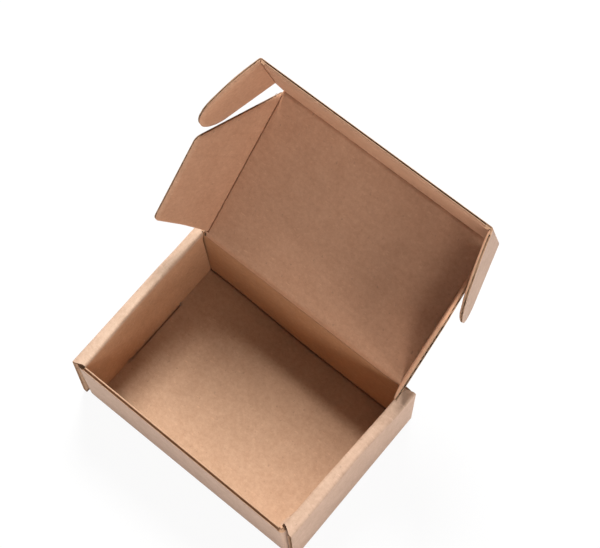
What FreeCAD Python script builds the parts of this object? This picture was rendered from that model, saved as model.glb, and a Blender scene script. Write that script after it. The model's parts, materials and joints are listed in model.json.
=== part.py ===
"""Roll-end tuck-front mailer in single-wall corrugated board, standing open.

The row frame: X runs along the hinge from the left end, Y from the front wall to the back wall,
and Z up from the underside of the base.  The origin is at the middle of the tray's underside.
Each flap is drawn flat in a crease frame (x along its crease, y out of the crease, z to the
inner face of the box) and then turned about that crease to its resting angle.
"""
import FreeCAD, Part
import os
from math import cos, radians, sin, tan

Vector = FreeCAD.Vector
Placement = FreeCAD.Placement
Rotation = FreeCAD.Rotation

# Board
BOARD = 2.8             # thickness of the corrugated board
LINER = 0.45            # thickness of one liner, the flat sheet on each face
FLUTE_PITCH = 6.5       # from one wave of the fluting to the next
EDGE_DEPTH = 0.9        # how far the fluting stands back from a cut edge
FLUTE_START = 3.0       # a flap's edges stay closed this near its crease, where they are crushed
BEND = 1.0              # inside radius of a fold
TAB_BEND = 2.0          # inside radius of the looser fold at a corner tab

# Tray, outside sizes
LENGTH = 180.0          # along the hinge
DEPTH = 121.5           # front to back
HEIGHT = 68.0           # underside of the base to the top of the side walls
FRONT_DROP = 1.4        # the front wall stops this far below the side walls

# Air between plies and round locks
PLY_AIR = 0.15          # between two plies of a double wall
SEAT_AIR = 0.15         # under an inner side panel's bottom edge
TAB_LIFT = 1.1          # corner tabs clear the base by this
STRIP_AIR = 1.2         # corner tabs clear the roll-over strip's underside by this
NOTCH_AIR = 0.3         # the front and back walls clear the strips' inner creases by this
SLOT_AIR = 0.35         # round a locking tab in its slot

# Ends of the double side walls
STRIP_FRONT_CUT = 2.6   # the strip's inner crease starts this far behind the outer one
STRIP_BACK_CUT = 4.0    # and ends this far ahead of it at the back
PANEL_FRONT_AIR = 0.5   # an inner side panel's foot clears the front wall by this
PANEL_FRONT_LEAN = 2.2  # and its front edge leans back by this towards the top
PANEL_BACK_AIR = 0.3    # the lower part of its back edge clears the back wall by this
PANEL_BACK_LEAN = 1.7   # and its upper part leans forward by this
PANEL_BACK_KINK = 38.0  # height at which the back edge starts to lean

# Locks and tabs
LOCK_LENGTH = 44.0      # locking tab on an inner side panel
LOCK_START = 41.0       # from the front face to the tab
SLOT_LEAD = 6.0         # the slot starts this far ahead of the tab, on a slant
SLOT_FLARE = 0.9        # how much wider the slot is where the slant starts
LOCK_SHORT = 0.3        # the tab stops this far above the underside
RELIEF = 1.5            # radius of the reliefs near a locking tab, and of its lower corners
FRONT_TAB = 38.0        # length of the front wall's corner tabs
BACK_TAB = 34.0         # length of the back wall's corner tabs
TAB_TAPER = 5.0         # how much a corner tab narrows at each edge

# Lid, tuck flap, dust flaps and ears
HINGE_AIR = 0.25        # between a crease's bead and the panel that turns on it
LID_SIDE_AIR = 0.15     # between a folded dust flap and the inner side panel
LID_FRONT_AIR = 1.9     # between the tuck flap and the front wall
TUCK_DEPTH = 57.7       # lid crease to free edge
TUCK_STEP_START = 3.0   # where the tuck flap's side leaves the lid's width
EAR_START = 10.0        # lid crease to the ear's crease
EAR_OUT = 5.4           # the ear's crease stands this far outside the lid's crease
EAR_LENGTH = 52.8       # crease to tip
EAR_STRAIGHT = 18.0     # the free side runs square to the crease for about this far
EAR_LEAN = 12.5         # then leans in by this at the tip
EAR_LID_LEAN = 2.5      # the lid's side leans in by this at the tip
EAR_FREE_ROUND = 60.0   # radius where the free side starts to lean
EAR_TIP_ROUND = 24.0    # radius at the tip on the free side
EAR_NOSE_ROUND = 15.0   # radius at the tip on the lid's side
DUST_OUT = 52.0         # width of a dust flap
DUST_START = 1.9        # hinge axis to the dust flap's crease
DUST_BACK_SLOPE = 13.7  # how far its back edge leans forward
DUST_FRONT_AIR = 3.0    # its crease stops this far short of the tuck crease
DUST_FRONT_SLOPE = 34.0 # how far its front edge leans back
DUST_BACK_ROUND = 4.0
DUST_FRONT_ROUND = 6.0

# Resting angles, each measured inside the box between the two panels that meet at the crease
LID_OPEN = 136.5        # from shut
TUCK_ANGLE = 120.0
LEFT_EAR_ANGLE = 106.5
RIGHT_EAR_ANGLE = 105.5
LEFT_DUST_ANGLE = 110.0
RIGHT_DUST_ANGLE = 102.0

# Worked out from the above
HALF = BOARD / 2
OUTER_BEND = BEND + BOARD
OUTER_TAB_BEND = TAB_BEND + BOARD
DOUBLE_WALL = 3 * BOARD + 2 * PLY_AIR
TAB_X = BOARD + PLY_AIR
UNDER_STRIP = HEIGHT - BOARD - STRIP_AIR
FRONT_HEIGHT = HEIGHT - FRONT_DROP
HINGE_Y = DEPTH - HALF
HINGE_Z = HEIGHT - HALF
LID_LEFT = DOUBLE_WALL + HALF + LID_SIDE_AIR
LID_WIDTH = LENGTH - 2 * LID_LEFT
LID_DEPTH = HINGE_Y - BOARD - LID_FRONT_AIR - HALF
RELIEVED = HALF + HINGE_AIR
GROOVE = BOARD - 2 * LINER


def rounded_wire(corners, place):
    """A closed wire through (a, b, radius) corners, each rounded by its own radius."""
    points = [Vector(a, b, 0) for a, b, radius in corners]
    edges = []
    last = None
    first = None
    for i, corner in enumerate(corners):
        here = points[i]
        back = (points[i - 1] - here).normalize()
        on = (points[(i + 1) % len(points)] - here).normalize()
        radius = corner[2]
        if radius > 0:
            half = back.getAngle(on) / 2
            reach = radius / tan(half)
            middle = here + (back + on).normalize() * (radius / sin(half) - radius)
            start, end = here + back * reach, here + on * reach
            edges.append(Part.Arc(place(start), place(middle), place(end)).toShape())
        else:
            start, end = here, here
        if last is not None and (start - last).Length > 1e-6:
            edges.append(Part.makeLine(place(last), place(start)))
        if first is None:
            first = start
        last = end
    edges.append(Part.makeLine(place(last), place(first)))
    return Part.Wire(Part.__sortEdges__(edges))


def in_plan(point):
    return Vector(point.x, point.y, 0)


def in_side_view(point):
    return Vector(0, point.x, point.y)


def in_front_view(point):
    return Vector(point.x, 0, point.y)


def prism(corners, place, direction):
    """The solid made by moving a rounded outline along a direction."""
    return Part.Face(rounded_wire(corners, place)).extrude(direction)


def square(points):
    return [(a, b, 0) for a, b in points]


def box(low, high):
    return Part.makeBox(high[0] - low[0], high[1] - low[1], high[2] - low[2], Vector(*low))


def mirrored(shape):
    """The same shape on the right half of the tray."""
    return shape.mirror(Vector(LENGTH / 2, 0, 0), Vector(1, 0, 0))


# ---------------------------------------------------------------- tray

def base_sheet():
    return box((OUTER_BEND, OUTER_BEND, 0), (LENGTH - OUTER_BEND, DEPTH - OUTER_BEND, BOARD))


def lock_slot():
    """The slot in the base that a locking tab drops into, with its slanted front end."""
    inner = DOUBLE_WALL - BOARD - SLOT_AIR
    outer = DOUBLE_WALL + SLOT_AIR
    start = LOCK_START - SLOT_LEAD
    end = LOCK_START + LOCK_LENGTH + SLOT_AIR
    corners = [(inner, LOCK_START - SLOT_AIR), (outer, start), (outer + SLOT_FLARE, start),
               (outer, LOCK_START), (outer, end), (inner, end)]
    slot = prism(square(corners), in_plan, Vector(0, 0, BOARD + 1 + SEAT_AIR / 2))
    slot.translate(Vector(0, 0, -1))
    return slot


def side_section():
    """The rolled-over side wall in section: base edge, outer panel, strip and inner panel."""
    reach = DOUBLE_WALL + BOARD
    seat = BOARD + SEAT_AIR
    inner = DOUBLE_WALL - BOARD
    under = HEIGHT - BOARD
    return [(0, 0, OUTER_BEND), (0, HEIGHT, OUTER_BEND), (DOUBLE_WALL, HEIGHT, OUTER_BEND),
            (DOUBLE_WALL, seat, 0), (inner, seat, 0), (inner, under, BEND), (BOARD, under, BEND),
            (BOARD, BOARD, BEND), (reach, BOARD, 0), (reach, 0, 0)]


def strip_end_cuts():
    """Plan wedges that cut the strip's ends back towards the inner panel."""
    wide = DOUBLE_WALL + 1
    low = HEIGHT - OUTER_BEND
    high = Vector(0, 0, OUTER_BEND + 1)
    back_y = DEPTH - STRIP_BACK_CUT
    front = prism(square([(0, -1), (0, 0), (DOUBLE_WALL, STRIP_FRONT_CUT), (wide, STRIP_FRONT_CUT),
                          (wide, -1)]), in_plan, high)
    back = prism(square([(0, DEPTH + 1), (0, DEPTH), (DOUBLE_WALL, back_y), (wide, back_y),
                         (wide, DEPTH + 1)]), in_plan, high)
    front.translate(Vector(0, 0, low))
    back.translate(Vector(0, 0, low))
    return [front, back]


def inner_panel_end_cuts():
    """Side-view wedges that trim the inner panel's ends to the front and back walls."""
    left = DOUBLE_WALL - BOARD - PLY_AIR / 2
    seat = BOARD + SEAT_AIR / 2
    crease = HEIGHT - BOARD
    width = Vector(BOARD + PLY_AIR, 0, 0)
    front_foot = BOARD + PANEL_FRONT_AIR
    front_top = front_foot + PANEL_FRONT_LEAN
    back_foot = DEPTH - BOARD - PANEL_BACK_AIR
    back_top = back_foot - PANEL_BACK_LEAN
    front = prism(square([(-1, seat), (front_foot, seat), (front_top, crease - BEND),
                          (STRIP_FRONT_CUT, crease + HALF), (-1, crease + HALF)]), in_side_view, width)
    back = prism(square([(DEPTH + 1, seat), (back_foot, seat), (back_foot, PANEL_BACK_KINK),
                         (back_top, crease + HALF), (DEPTH + 1, crease + HALF)]), in_side_view, width)
    front.translate(Vector(left, 0, 0))
    back.translate(Vector(left, 0, 0))
    return [front, back]


def locking_tab():
    """The tab under an inner side panel, with its rounded leading corners."""
    low = LOCK_SHORT
    high = BOARD + 2 * SEAT_AIR
    end = LOCK_START + LOCK_LENGTH
    corners = [(LOCK_START, high, 0), (LOCK_START, low, RELIEF), (end, low, RELIEF), (end, high, 0)]
    tab = prism(corners, in_side_view, Vector(BOARD, 0, 0))
    tab.translate(Vector(DOUBLE_WALL - BOARD, 0, 0))
    return tab


def lock_reliefs():
    """Half-round notches in the inner panel's foot: ahead of the slot, and behind the locking tab."""
    notches = []
    for y in (LOCK_START - SLOT_LEAD - RELIEF, LOCK_START + LOCK_LENGTH + RELIEF):
        notch = Part.makeCylinder(RELIEF, BOARD + PLY_AIR, Vector(0, y, BOARD + SEAT_AIR), Vector(1, 0, 0))
        notch.translate(Vector(DOUBLE_WALL - BOARD - PLY_AIR / 2, 0, 0))
        trim = box((0, y - RELIEF - 1, BOARD + SEAT_AIR / 2), (LENGTH, y + RELIEF + 1, HEIGHT / 2))
        notches.append(notch.common(trim))
    return notches


def side_edge_grooves():
    """The open fluting along the upright cut edges of the outer side panel."""
    bottom = OUTER_BEND
    top = HEIGHT - OUTER_BEND
    return [box((LINER, -1, bottom), (BOARD - LINER, EDGE_DEPTH, top)),
            box((LINER, DEPTH - EDGE_DEPTH, bottom), (BOARD - LINER, DEPTH + 1, top))]


def corner_slits():
    """The base beside each end of the wall belongs to the front and back walls' folds."""
    return [box((BOARD, -1, -1), (LENGTH, OUTER_BEND, BOARD + SEAT_AIR / 2)),
            box((BOARD, DEPTH - OUTER_BEND, -1), (LENGTH, DEPTH + 1, BOARD + SEAT_AIR / 2))]


def left_side_wall():
    wall = prism(side_section(), in_front_view, Vector(0, DEPTH, 0))
    wall = wall.cut(strip_end_cuts() + inner_panel_end_cuts() + lock_reliefs())
    wall = wall.cut(side_edge_grooves() + corner_slits())
    return wall.fuse(locking_tab())


def end_wall_foot():
    """A front or back wall's bottom fold, rounded off in plan where its corner tabs turn."""
    reach = OUTER_BEND + BOARD
    height = BOARD + 2 * TAB_LIFT
    right = LENGTH - TAB_X
    section = [(0, 0, OUTER_BEND), (0, height, 0), (BOARD, height, 0), (BOARD, BOARD, BEND),
               (reach, BOARD, 0), (reach, 0, 0)]
    plan = [(TAB_X, 0, OUTER_TAB_BEND), (right, 0, OUTER_TAB_BEND), (right, reach, 0),
            (TAB_X, reach, 0)]
    foot = prism(section, in_side_view, Vector(LENGTH, 0, 0))
    return foot.common(prism(plan, in_plan, Vector(0, 0, height)))


def end_wall_band(tab_length):
    """A front or back wall with its two corner tabs, seen from above."""
    right = LENGTH - TAB_X
    plan = [(TAB_X, 0, OUTER_TAB_BEND), (right, 0, OUTER_TAB_BEND), (right, tab_length, 0),
            (right - BOARD, tab_length, 0), (right - BOARD, BOARD, TAB_BEND),
            (TAB_X + BOARD, BOARD, TAB_BEND), (TAB_X + BOARD, tab_length, 0), (TAB_X, tab_length, 0)]
    low = BOARD + TAB_LIFT
    band = prism(plan, in_plan, Vector(0, 0, UNDER_STRIP - low))
    band.translate(Vector(0, 0, low))
    return band.cut(tab_tapers(tab_length, low))


def tab_tapers(tab_length, low):
    """Wedges that narrow the corner tabs towards their free ends."""
    start = OUTER_TAB_BEND + BOARD
    width = Vector(LENGTH, 0, 0)
    past = tab_length + 1
    under = prism(square([(start, low), (past, low + TAB_TAPER), (past, low - 1), (start, low - 1)]),
                  in_side_view, width)
    over = prism(square([(start, UNDER_STRIP), (past, UNDER_STRIP - TAB_TAPER), (past, HEIGHT),
                         (start, HEIGHT)]), in_side_view, width)
    return [under, over]


def raised_part(top):
    """The part of an end wall that rises between the two roll-over strips."""
    edge = DOUBLE_WALL + NOTCH_AIR
    return box((edge, 0, UNDER_STRIP - BOARD), (LENGTH - edge, BOARD, top))


def front_wall():
    groove = box((DOUBLE_WALL, LINER, FRONT_HEIGHT - EDGE_DEPTH),
                 (LENGTH - DOUBLE_WALL, BOARD - LINER, FRONT_HEIGHT + 1))
    wall = end_wall_foot().fuse([end_wall_band(FRONT_TAB), raised_part(FRONT_HEIGHT)])
    return wall.cut(groove)


def back_wall():
    wall = end_wall_foot().fuse([end_wall_band(BACK_TAB), raised_part(HINGE_Z)])
    wall = wall.mirror(Vector(0, DEPTH / 2, 0), Vector(0, 1, 0))
    bead = Part.makeCylinder(HALF, LID_WIDTH, Vector(LID_LEFT, HINGE_Y, HINGE_Z), Vector(1, 0, 0))
    shoulder_width = LID_LEFT - DOUBLE_WALL - NOTCH_AIR
    for x in (DOUBLE_WALL + NOTCH_AIR, LENGTH - LID_LEFT):
        shoulder = box((x, DEPTH - BOARD, HINGE_Z - HALF), (x + shoulder_width, DEPTH, HINGE_Z))
        wall = wall.cut(shoulder)
    return wall.fuse(bead)


def tray():
    """Base, walls, roll-over strips, inner panels and corner tabs: one folded sheet."""
    side = left_side_wall()
    slot = lock_slot().cut(locking_tab())
    sheet = base_sheet().fuse([side, mirrored(side), front_wall(), back_wall()])
    sheet = sheet.cut([slot, mirrored(slot)])
    return sheet.removeSplitter()


# ---------------------------------------------------------------- flaps

def turned(placement, angle):
    """A crease frame turned from lying in line with its parent to the given inside angle."""
    return placement.multiply(Placement(Vector(), Rotation(Vector(1, 0, 0), 180 - angle)))


def lid_frame():
    out = Vector(0, -cos(radians(LID_OPEN)), sin(radians(LID_OPEN)))
    along = Vector(1, 0, 0)
    return Placement(Vector(0, HINGE_Y, HINGE_Z), Rotation(along, out, along.cross(out), "XYZ"))


def tuck_frame():
    return turned(lid_frame().multiply(Placement(Vector(0, LID_DEPTH, 0), Rotation())), TUCK_ANGLE)


def left_frame(parent, x, angle):
    """A crease on a panel's left side: its x axis runs away from the parent's crease."""
    axes = Rotation(Vector(0, 1, 0), Vector(-1, 0, 0), Vector(0, 0, 1), "XYZ")
    return turned(parent.multiply(Placement(Vector(x, 0, 0), axes)), angle)


def right_frame(parent, x, angle):
    """A crease on a panel's right side: its x axis runs towards the parent's crease."""
    axes = Rotation(Vector(0, -1, 0), Vector(1, 0, 0), Vector(0, 0, 1), "XYZ")
    return turned(parent.multiply(Placement(Vector(x, 0, 0), axes)), angle)


def sheet_of(wire):
    """Board of full thickness on a flat outline, centred on the crease plane."""
    solid = Part.Face(wire).extrude(Vector(0, 0, BOARD))
    solid.translate(Vector(0, 0, -HALF))
    return solid


def crease_relief(start, end, folds_in=True):
    """What is taken off a panel so that it turns clear of its parent's bead."""
    length = end - start
    round_part = Part.makeCylinder(RELIEVED, length, Vector(start, 0, 0), Vector(1, 0, 0))
    side = 0 if folds_in else -BOARD
    flat_part = box((start, -BOARD, side), (end, RELIEVED, side + BOARD))
    return round_part.fuse(flat_part)


def bead(start, end):
    """The rounded edge, one board thick, that a folding panel turns about."""
    return Part.makeCylinder(HALF, (end - start).Length, start, end - start)


def flute_wave(low, high, sign):
    """Openings of the fluting on one side of its wave, from low to high across the waves."""
    openings = []
    half = FLUTE_PITCH / 2
    slant = FLUTE_PITCH / 6
    count = int((high - low) / FLUTE_PITCH) + 1
    inside = HALF - LINER
    for i in range(count):
        middle = low + (i + 0.5) * FLUTE_PITCH + (half / 2) * sign
        openings.append([(middle - half + slant, sign * inside), (middle + half - slant, sign * inside),
                         (middle + slant / 2, -sign * inside / 2), (middle - slant / 2, -sign * inside / 2)])
    return openings


def open_flutes(wire, low, high, length):
    """Fluting left open along a flat outline's cut edges: it runs out of the crease, along y."""
    face = Part.Face(wire)
    core = face.makeOffset2D(-EDGE_DEPTH)
    rim = face.cut(core).extrude(Vector(0, 0, BOARD))
    rim.translate(Vector(0, 0, -HALF))
    bars = []
    for sign in (1, -1):
        for corners in flute_wave(low, high, sign):
            bar = prism(square(corners), in_front_view, Vector(0, length, 0))
            bar.translate(Vector(0, RELIEVED + FLUTE_START, 0))
            bars.append(bar)
    return Part.makeCompound(bars).common(rim)


def lid_panel():
    """The lid, a plain rectangle with a bead on its front and both sides."""
    panel = box((LID_LEFT, 0, -HALF), (LENGTH - LID_LEFT, LID_DEPTH, HALF))
    panel = panel.cut(crease_relief(LID_LEFT - 1, LENGTH - LID_LEFT + 1, folds_in=False))
    dust_end = LID_DEPTH - DUST_FRONT_AIR
    right = LENGTH - LID_LEFT
    panel = panel.fuse([bead(Vector(LID_LEFT, DUST_START, 0), Vector(LID_LEFT, dust_end, 0)),
                        bead(Vector(right, DUST_START, 0), Vector(right, dust_end, 0)),
                        bead(Vector(LID_LEFT, LID_DEPTH, 0), Vector(right, LID_DEPTH, 0))])
    panel.Placement = lid_frame()
    return panel


def tuck_flap():
    """The front flap: it widens past the lid's creases, and its ears fold on those sides."""
    left = LID_LEFT
    right = LENGTH - LID_LEFT
    ear_left = left - EAR_OUT
    ear_right = right + EAR_OUT
    outline = square([(left, 0), (left, TUCK_STEP_START), (ear_left, EAR_START), (ear_left, TUCK_DEPTH),
                      (ear_right, TUCK_DEPTH), (ear_right, EAR_START), (right, TUCK_STEP_START),
                      (right, 0)])
    panel = sheet_of(rounded_wire(outline, in_plan))
    groove = box((0, TUCK_DEPTH - EDGE_DEPTH, -GROOVE / 2), (LENGTH, TUCK_DEPTH + 1, GROOVE / 2))
    panel = panel.cut([crease_relief(0, LENGTH), groove])
    panel = panel.fuse([bead(Vector(x, EAR_START, 0), Vector(x, TUCK_DEPTH, 0))
                        for x in (ear_left, ear_right)])
    panel.Placement = tuck_frame()
    return panel


def ear_outline(side):
    """A leaf: nearly straight on the lid's side, leaning in on the free side, with a round tip."""
    near = EAR_START
    far = TUCK_DEPTH
    corners = [(near, 0, 0), (near + EAR_LID_LEAN, EAR_LENGTH, EAR_NOSE_ROUND),
               (far - EAR_LEAN, EAR_LENGTH, EAR_TIP_ROUND), (far, EAR_STRAIGHT, EAR_FREE_ROUND),
               (far, 0, 0)]
    return rounded_wire([(side * x, y, radius) for x, y, radius in corners], in_plan)


def ear(side, angle):
    """One locking ear; side is 1 on the left and -1 on the right."""
    wire = ear_outline(side)
    ends = sorted((side * EAR_START, side * TUCK_DEPTH))
    panel = sheet_of(wire).cut(crease_relief(ends[0] - 1, ends[1] + 1))
    panel = panel.cut(open_flutes(wire, ends[0], ends[1], EAR_LENGTH))
    crease_x = LID_LEFT - EAR_OUT
    if side > 0:
        panel.Placement = left_frame(tuck_frame(), crease_x, angle)
    else:
        panel.Placement = right_frame(tuck_frame(), LENGTH - crease_x, angle)
    return panel


def dust_outline(side):
    start = DUST_START
    end = LID_DEPTH - DUST_FRONT_AIR
    corners = [(start, 0, 0), (start + DUST_BACK_SLOPE, DUST_OUT, DUST_BACK_ROUND),
               (end - DUST_FRONT_SLOPE, DUST_OUT, DUST_FRONT_ROUND), (end, 0, 0)]
    return rounded_wire([(side * x, y, radius) for x, y, radius in corners], in_plan)


def dust_flap(side, angle):
    """One dust flap on the lid's side; side is 1 on the left and -1 on the right."""
    wire = dust_outline(side)
    ends = sorted((side * DUST_START, side * (LID_DEPTH - DUST_FRONT_AIR)))
    panel = sheet_of(wire).cut(crease_relief(ends[0] - 1, ends[1] + 1))
    panel = panel.cut(open_flutes(wire, ends[0], ends[1], DUST_OUT))
    if side > 0:
        panel.Placement = left_frame(lid_frame(), LID_LEFT, angle)
    else:
        panel.Placement = right_frame(lid_frame(), LENGTH - LID_LEFT, angle)
    return panel


# ---------------------------------------------------------------- output

def write(name, shape):
    """Put the origin under the tray's middle and save one node."""
    shape = shape.copy()
    shape.translate(Vector(-LENGTH / 2, -DEPTH / 2, 0))
    shape.exportStep("parts/" + name + ".step")
    print(name, "valid", shape.isValid(), "solids", len(shape.Solids), "volume", round(shape.Volume, 1))


os.makedirs("parts", exist_ok=True)
write("tray", tray())
write("lid_panel", lid_panel())
write("tuck_flap", tuck_flap())
write("left_ear", ear(1, LEFT_EAR_ANGLE))
write("right_ear", ear(-1, RIGHT_EAR_ANGLE))
write("left_dust_flap", dust_flap(1, LEFT_DUST_ANGLE))
write("right_dust_flap", dust_flap(-1, RIGHT_DUST_ANGLE))
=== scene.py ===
"""The corrugated mailer box, dressed: each folded sheet is two paper liners, with fluting between
them where its cut edges show.

Lengths are millimetres in the row frame, and become metres when a mesh is made.  A sheet follows
a bent centre line drawn in a plane (a, b) and spreads along the third direction (c).  The distance
along the centre line is s.
"""
import json
from math import atan2, ceil, cos, exp, pi, radians, sin, tan

import bmesh
import bpy
from mathutils import Matrix, Vector


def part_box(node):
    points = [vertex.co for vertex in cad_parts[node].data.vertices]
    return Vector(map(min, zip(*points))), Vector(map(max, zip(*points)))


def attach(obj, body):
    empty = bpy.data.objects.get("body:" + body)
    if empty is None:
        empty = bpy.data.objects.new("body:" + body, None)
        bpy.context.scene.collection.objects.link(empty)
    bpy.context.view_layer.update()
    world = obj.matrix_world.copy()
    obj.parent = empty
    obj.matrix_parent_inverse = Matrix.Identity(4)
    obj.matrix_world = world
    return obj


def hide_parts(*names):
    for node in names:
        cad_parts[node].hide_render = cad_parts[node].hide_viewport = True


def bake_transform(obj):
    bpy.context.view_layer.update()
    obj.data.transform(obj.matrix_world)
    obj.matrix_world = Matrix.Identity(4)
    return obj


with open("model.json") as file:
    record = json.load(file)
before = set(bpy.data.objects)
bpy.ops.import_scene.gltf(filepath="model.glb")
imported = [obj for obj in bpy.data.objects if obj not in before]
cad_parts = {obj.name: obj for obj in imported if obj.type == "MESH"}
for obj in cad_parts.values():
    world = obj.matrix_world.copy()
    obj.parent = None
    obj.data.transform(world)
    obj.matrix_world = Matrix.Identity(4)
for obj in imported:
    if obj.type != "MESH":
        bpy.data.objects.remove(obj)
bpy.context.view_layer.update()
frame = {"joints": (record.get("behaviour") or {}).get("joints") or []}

MM = 0.001

# Board
BOARD = 2.8
LINER = 0.34
MEDIUM = 0.26             # the fluted paper in the middle
PITCH = 6.5               # from one wave of the fluting to the next
HALF = BOARD / 2
FOLD = 0.7                # the centre line's radius in the tray's folds
TAB_BEND = HALF           # and where the corner tabs turn
HINGE_BEND = 1.5          # and under the lid
CREASE_BEND = 0.6         # and in the creases that the other flaps turn on
FOLD_REACH = BOARD + 1.0  # a panel beside a fold of the tray is whole this far from the corner
WAVE_STEPS = 12           # grid lines in one wave of the fluting
WAVE_TURN = 0.6           # where a wave starts on the tuck flap's edge, in radians
CAP_DEPTH = 0.5           # crushed flutes close the board this far inside a cut edge
STEP = 0.01               # a jump in a sheet's outline
SAME = 1e-6               # lengths this close are one
ROUNDING = 1e-4           # more than a place in single precision is out by

# How deep and how wide the inner liner is pressed in at a fold or a cut edge
WALL_PRESS = (1.1, 1.1)
BASE_PRESS = (1.9, 1.3)
HINGE_PRESS = (0.4, 1.5)
TUCK_PRESS = (1.5, 1.5)
FLAP_PRESS = (1.5, 0.8)
EDGE_CRUSH = (1.35, 2.6)
FRONT_CRUSH = (0.8, 2.0)
CRUSH_CURVE = 1.7

# Tray
tray_low, tray_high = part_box("tray")
LENGTH = (tray_high.x - tray_low.x) / MM
DEPTH = (tray_high.y - tray_low.y) / MM
HEIGHT = tray_high.z / MM
X0 = -LENGTH / 2
Y0 = -DEPTH / 2
PLY_AIR = 0.15
DOUBLE_WALL = 3 * BOARD + 2 * PLY_AIR
SEAT = BOARD + 0.15       # the inner panels' foot
FLOOR_EDGE = 12.0         # where the side walls' sheets take over from the base's sheet

# The strips' and side panels' ends, from the front and back faces
STRIP_FRONT_CUT = {"left": 2.6, "right": 4.1}
STRIP_BACK_CUT = 3.4
PANEL_FRONT_FOOT = 3.2
PANEL_FRONT_TOP = {"left": 3.8, "right": 5.6}
PANEL_BACK_FOOT = 3.2
PANEL_BACK_TOP = 5.2
PANEL_BACK_KINK = 15.0    # height at which the inner panel's back edge starts to lean
OUTER_BACK = {"left": (0.0, 0.0), "right": (3.4, -1.6)}     # the outer panel's foot and top
PANEL_EDGE = 0.6          # fluting stops this far inside a side panel's cut edges
FLUTE_FOOT = 3.0          # and starts this far above the outer panel's foot

# The inner panels' locking tabs and the base's slots
NOTCH = (31.2, 35.0)      # a relief in the inner panel's foot, ahead of the locking tab
NOTCH_RISE = 1.5
NOTCH_BACK = 1.2          # the relief behind the tab reaches this far past the slot
LOCK = (41.0, 85.0)
LOCK_DROP = 2.5
SLOT_AIR = 0.25
SLOT_DENT = (1.1, 1.5)    # how wide and deep the base is pressed in along the slot
DENT_EDGE = 0.3           # and how far that takes to end

# The front and back walls and their corner tabs
FRONT_TOP = HEIGHT - 1.4
FRONT_FLUTES = 0.7        # the front wall's fluting starts this far below its top
BAND_TOP = HEIGHT - BOARD - 0.35
BACK_RIGHT_BAND = HEIGHT - BOARD - 3.8
TORN_TOP = HEIGHT - 1.0   # a bit of the back wall torn up at the hinge's left end
BAND_FOOT = BOARD + 1.1
BEND_FOOT = 1.2           # where a corner tab's own fold starts
FOOT_TOP = 6.0            # where the walls' sheets take over from the base's sheet
NOTCH_AIR = 0.3           # between the strip's inner edge and the wall beside it
TAB_TAPER = 5.0
FRONT_TAB = 38.0
BACK_TAB = 34.0
CAP_REACH = 14.0          # how far along a corner tab its cut edge is closed

# How the hand-folded tray has settled, each with the span over which it comes in
BACK_SLIP = (1.2, 3.3)    # how far the back wall's foot has slipped forward, at the left and right
SLIP_ACROSS = (-70.0, 15.0)
SLIP_DEPTH = (15.0, 58.0)
FRONT_LEAN = (1.0, 1.8)   # how far the front wall's top leans forward, at the left and right
FRONT_LEAN_DEPTH = (Y0 + BOARD, Y0 + BOARD + 5.0)
LEFT_LEAN = 1.8           # how far the left wall's inner panel leans out at its top
LEFT_LEAN_DEPTH = (-60.0, 0.0)
RIGHT_LEAN = (2.3, 2.2)   # and the right wall's inner and outer panels at their back ends
RIGHT_LEAN_DEPTH = ((-45.0, 50.0), (5.0, 50.0))
RIGHT_PINCH = 1.2         # how far the right wall's inner panel leans in at the front
PINCH_DEPTH = (Y0, Y0 + 16.0)
PANEL_FADE = 10.0         # the base and the walls follow the panels this far in
FLARE = (2.4, 1.2)        # how far the left outer panel's front foot is bent, out and forward
FLARE_DEPTH = ((Y0, Y0 + 28.0), (Y0, Y0 + 6.0))
TAB_INSET = 2.6           # how far the front wall's right tab turns short of the outer panel
INSET_ACROSS = (-11.0, 4.0)       # from the double wall's inner face
INSET_DEPTH = (Y0 + 5.0, Y0 + 14.0)
INSET_HEIGHT = (2.0, 9.0)
DIP = (1.05, 0.6)         # how far the left and right strips sag under the dust flaps
DIP_DEPTH = (22.0, 34.0)
DIP_HEIGHT = (40.0, 65.0)
UNDER_STRIP = HEIGHT - BOARD - 0.1

# Flaps
joints = {j["name"]: j for j in frame["joints"]}


def joint_place(name):
    return Vector(joints[name]["pos_m"]) / MM


def joint_axis(name):
    return Vector(joints[name]["axis"])


ACROSS = Vector((1, 0, 0))
OVERLAP = 3.6             # how far a flap's sheet reaches back over its crease
HINGE = joint_place("lid_hinge")
LID_BELOW = 5.0           # the lid's sheet starts this far below the hinge
LID_OUT = joint_axis("right_dust_crease")
LID_FACE = ACROSS.cross(LID_OUT)
LID_SPREAD = 1.2          # how far each side of the lid has spread past its CAD crease
LID_HALF = joint_place("right_dust_crease").x + LID_SPREAD
TORN_WEB = 0.8            # the liner left standing at the lid's ends beside the hinge
HINGE_FADE = 12.0         # the hinge's crease fades out this near the lid's ends
TUCK_CREASE = joint_place("tuck_crease")
TUCK_TILT = 1.2           # degrees by which the tuck flap stands closer than its CAD solid
TUCK_OUT = Matrix.Rotation(radians(TUCK_TILT), 3, "X") @ joint_axis("right_ear_crease")
TUCK_FACE = ACROSS.cross(TUCK_OUT)
TUCK_DEPTH = 57.7
TUCK_STEP = 3.0           # where its side starts to widen towards the ear's crease
TUCK_FLUTES = (9.0, 0.5)  # its fluting, from its free edge
LID_DEPTH = (TUCK_CREASE - HINGE).length
EAR_HALF = joint_place("right_ear_crease").x
EAR_START = 10.0
EAR_LENGTH = 52.8
EAR_STRAIGHT = 18.0       # the free side runs square to the crease for this far
EAR_LEANS = (2.5, 12.5)   # how far the lid's side and the free side lean in at the tip
EAR_ROUNDS = (60.0, 24.0, 15.0)   # radii on the free side, at its tip and at the lid's side's tip
DUST_START = 1.0          # the dust flaps' creases, from the hinge
DUST_END = LID_DEPTH - 3.0
DUST_OUT = 52.0
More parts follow.
